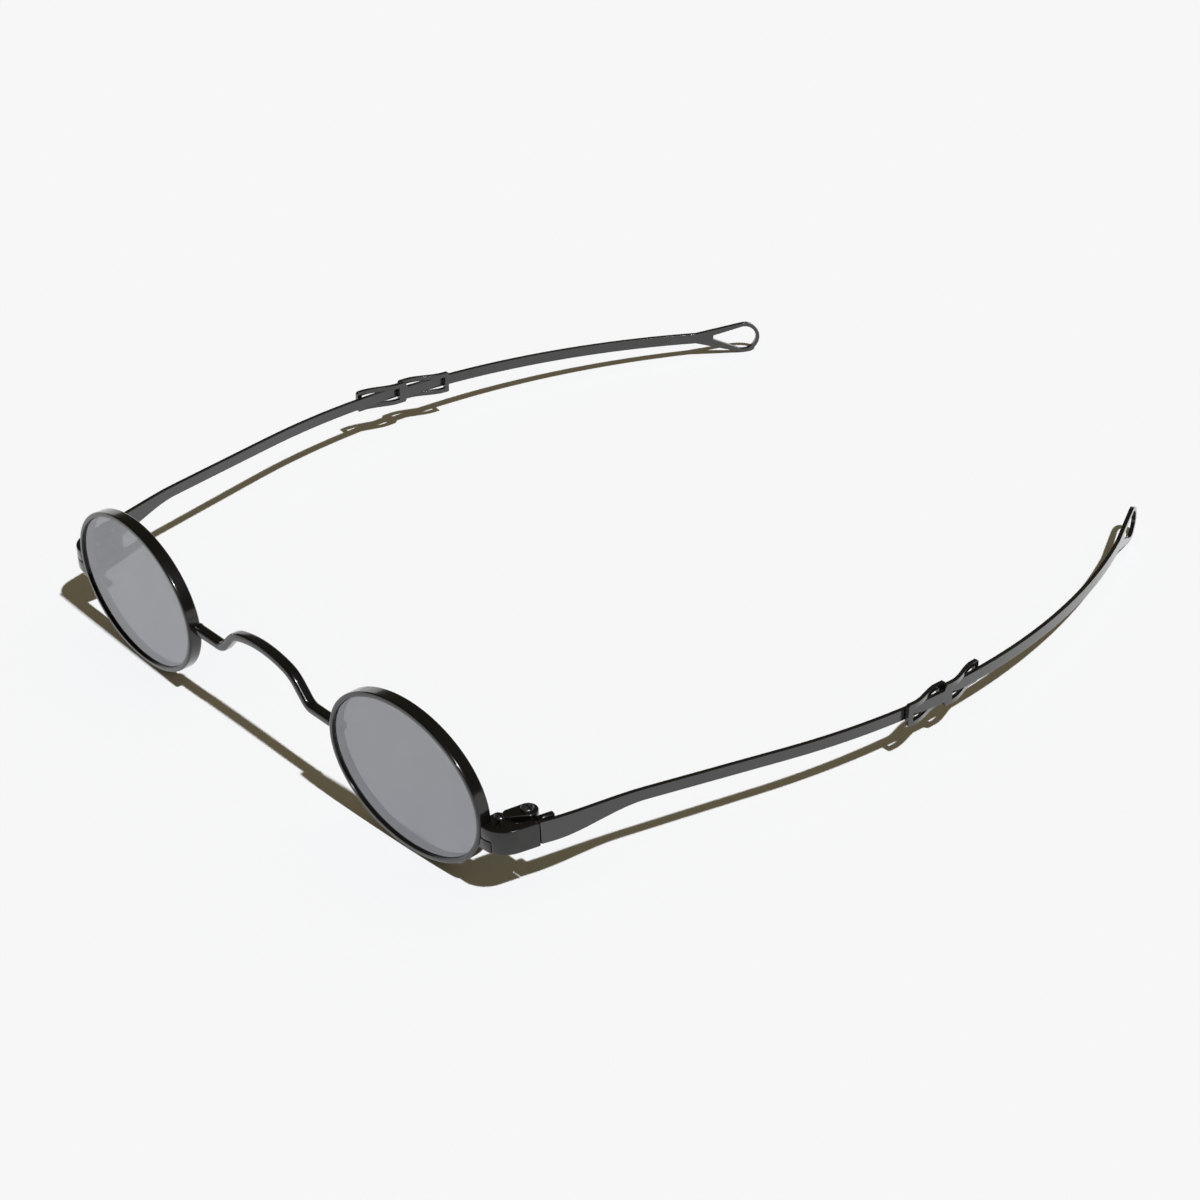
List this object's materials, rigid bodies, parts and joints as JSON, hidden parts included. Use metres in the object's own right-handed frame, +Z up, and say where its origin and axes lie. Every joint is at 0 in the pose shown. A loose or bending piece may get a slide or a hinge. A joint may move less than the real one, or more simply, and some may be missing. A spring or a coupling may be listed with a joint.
{
  "type": "temple spectacles",
  "caption": "Spectacles with oval wire rims, a saddle bridge, flat grey lenses and slim temples that fold at screw hinges and slide to length on woven windowed plates.",
  "frame": {"origin": "on the table under the middle of the open spectacles, with the temples drawn out", "axes": "+Z up, +Y from the front towards the temple tips, +X towards the wearer's left"},
  "size_m": [0.1388, 0.1436, 0.0252],
  "materials": {
    "black_metal": "gloss black over steel",
    "lens_glass": "grey, softly mirrored",
    "screw_steel": "dark turned steel"
  },
  "bodies": {
    "front": {"bridge": "black_metal", "left_eyewire": "black_metal", "left_lens": "lens_glass", "left_endpiece": "black_metal", "left_closing_block": "black_metal", "left_closing_screw": "screw_steel", "left_front_hinge_leaf": "black_metal", "left_hinge_screw": "screw_steel", "right_eyewire": "black_metal", "right_lens": "lens_glass", "right_endpiece": "black_metal", "right_closing_block": "black_metal", "right_closing_screw": "screw_steel", "right_front_hinge_leaf": "black_metal", "right_hinge_screw": "screw_steel"},
    "temple_left": {"left_temple_hinge_leaf": "black_metal", "left_temple_bar": "black_metal"},
    "temple_right": {"right_temple_hinge_leaf": "black_metal", "right_temple_bar": "black_metal"},
    "slider_left": {"left_sliding_bar": "black_metal"},
    "slider_right": {"right_sliding_bar": "black_metal"}
  },
  "joints": [
    {"name": "left_fold", "type": "hinge", "parent": "front", "child": "temple_left", "pos_m": [0.0542, -0.0631, 0.011], "axis": [0, 0, 1], "range_deg": [0, 90]},
    {"name": "right_fold", "type": "hinge", "parent": "front", "child": "temple_right", "pos_m": [-0.0542, -0.0631, 0.011], "axis": [0, 0, -1], "range_deg": [0, 80]},
    {"name": "left_length", "type": "hinge", "parent": "temple_left", "child": "slider_left", "pos_m": [-0.05675, 0.00146, 0.00797], "axis": [0, -0.068, -0.9977], "range_deg": [0, 9.4]},
    {"name": "right_length", "type": "hinge", "parent": "temple_right", "child": "slider_right", "pos_m": [0.05675, 0.00146, 0.00797], "axis": [0, 0.068, 0.9977], "range_deg": [0, 9.4]}
  ]
}
